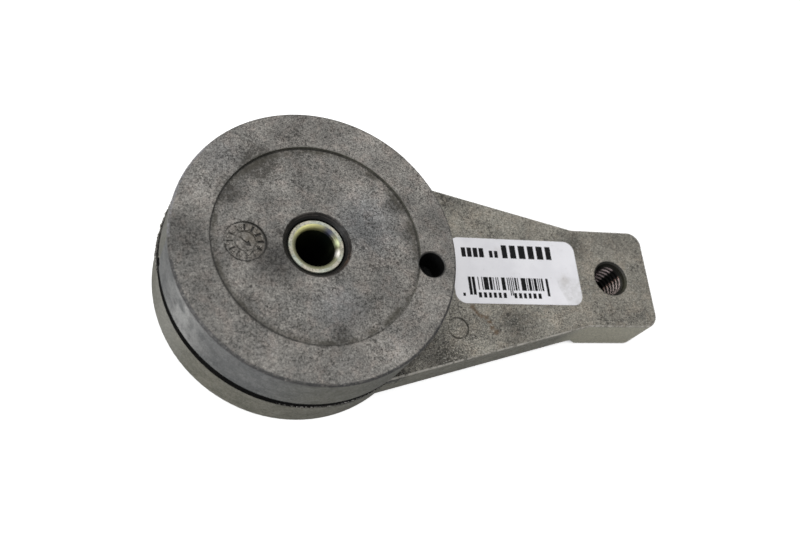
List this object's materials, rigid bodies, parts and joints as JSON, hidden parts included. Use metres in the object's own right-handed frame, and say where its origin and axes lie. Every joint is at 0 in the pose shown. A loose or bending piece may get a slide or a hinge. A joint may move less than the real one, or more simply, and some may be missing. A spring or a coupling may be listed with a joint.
{
  "type": "belt tensioner",
  "caption": "Rotary torsion-spring belt tensioner with a round cast base cup, a pivot sleeve and a sprung arm that ends in a threaded pulley boss.",
  "frame": {"origin": "on the pivot axis, in the plane of the bolt seat at the sleeve's flange, the lowest plane of the object", "axes": "+Z along the pivot axis out of the mounting face; +X along the arm at rest, from the pivot to the threaded boss"},
  "size_m": [0.1378, 0.071, 0.0296],
  "materials": {
    "cast_housing": "as cast, warm grey, mottled and slightly stained",
    "cast_arm": "as cast, olive grey, grainy",
    "plated_steel": "zinc plated, yellow chromate",
    "bright_steel": "plain ground steel",
    "bush_polymer": "filled bearing polymer",
    "guide_polymer": "moulded black polymer",
    "spring_steel": "oiled spring wire",
    "liner_polymer": "moulded friction liner",
    "seal_rubber": "matt black rubber",
    "label_paper": "white label with plain dark marks"
  },
  "bodies": {
    "base": {"base_housing": "cast_housing", "pivot_sleeve": "plated_steel", "thrust_washer": "bright_steel", "torsion_spring": "spring_steel"},
    "arm": {"tensioner_arm": "cast_arm", "lower_bush": "bush_polymer", "upper_bush": "bush_polymer", "spring_guide": "guide_polymer", "damper_liner": "liner_polymer", "damper_band": "bright_steel", "dust_seal": "seal_rubber", "part_label": "label_paper"}
  },
  "joints": [
    {"name": "arm_pivot", "type": "hinge", "parent": "base", "child": "arm", "pos_m": [0, 0, 0.0145], "axis": [0, 0, 1], "range_deg": [0, 50], "stiffness_Nm_per_rad": 7.1, "springref_deg": -15.01, "deforming": ["torsion_spring"]}
  ]
}
